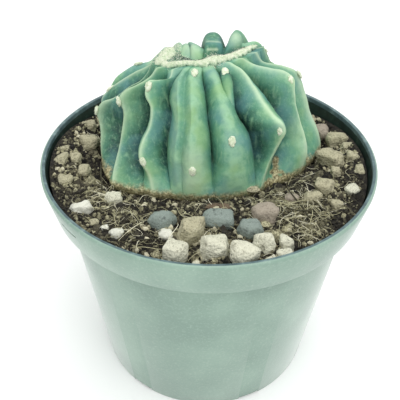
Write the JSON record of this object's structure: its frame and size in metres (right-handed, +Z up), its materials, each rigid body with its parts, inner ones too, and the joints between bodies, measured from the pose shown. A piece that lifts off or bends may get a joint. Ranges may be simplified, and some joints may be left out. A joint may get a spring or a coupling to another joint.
{
  "type": "potted crested barrel cactus",
  "caption": "Crested barrel cactus with folded ribs and a cream woolly crest, growing in stone-dressed potting mix in a round thin-walled nursery pot.",
  "frame": {"origin": "middle of the pot's foot, on the surface that it stands on", "axes": "+Z up along the pot's axis, -Y towards the plant's best side, +X to the right seen from that side"},
  "size_m": [0.1196, 0.1196, 0.1291],
  "materials": {
    "pot_plastic": "moulded sage green plastic, satin, a little dusty",
    "potting_mix": "dark moist peat with fibres and bark crumbs, rough",
    "cactus_skin": "waxy plant skin, blue-green with paler crests, satin",
    "crest_wool": "cream plant felt, matte",
    "stone_tan": "tan pumice, rough",
    "stone_white": "white grit, rough",
    "stone_grey": "blue-grey gravel, smooth matte",
    "stone_pale": "pale pumice, rough",
    "stone_pink": "brown-pink gravel, matte",
    "bark_flake": "weathered bark, rough"
  },
  "bodies": {
    "root": {"pot": "pot_plastic", "soil": "potting_mix", "cactus": "cactus_skin", "crest_wool": "crest_wool", "stone_01": "stone_tan", "stone_02": "stone_tan", "stone_03": "stone_tan", "stone_04": "stone_tan", "stone_05": "stone_tan", "stone_06": "stone_white", "stone_07": "stone_white", "stone_08": "stone_white", "stone_09": "stone_white", "stone_10": "stone_grey", "stone_11": "stone_white", "stone_12": "stone_tan", "stone_13": "stone_pale", "stone_14": "stone_pale", "stone_15": "stone_grey", "stone_16": "stone_grey", "stone_17": "stone_pink", "stone_18": "stone_pale", "stone_19": "stone_pale", "stone_20": "stone_pale", "stone_21": "stone_pale", "stone_22": "stone_pale", "stone_23": "stone_pale", "stone_24": "stone_pink", "stone_25": "stone_tan", "stone_26": "stone_tan", "stone_27": "stone_tan", "stone_28": "stone_tan", "stone_29": "stone_tan", "stone_30": "stone_tan", "stone_31": "stone_tan", "stone_32": "stone_tan", "stone_33": "bark_flake", "stone_34": "stone_tan", "stone_35": "stone_pale", "stone_36": "stone_tan", "stone_37": "stone_tan", "stone_38": "stone_grey", "stone_39": "stone_tan", "stone_40": "stone_pale", "stone_41": "stone_tan", "stone_42": "stone_tan", "stone_43": "stone_tan", "stone_44": "stone_pale", "stone_45": "stone_grey", "stone_46": "stone_tan", "stone_47": "stone_tan", "stone_48": "stone_pink"}
  },
  "joints": []
}
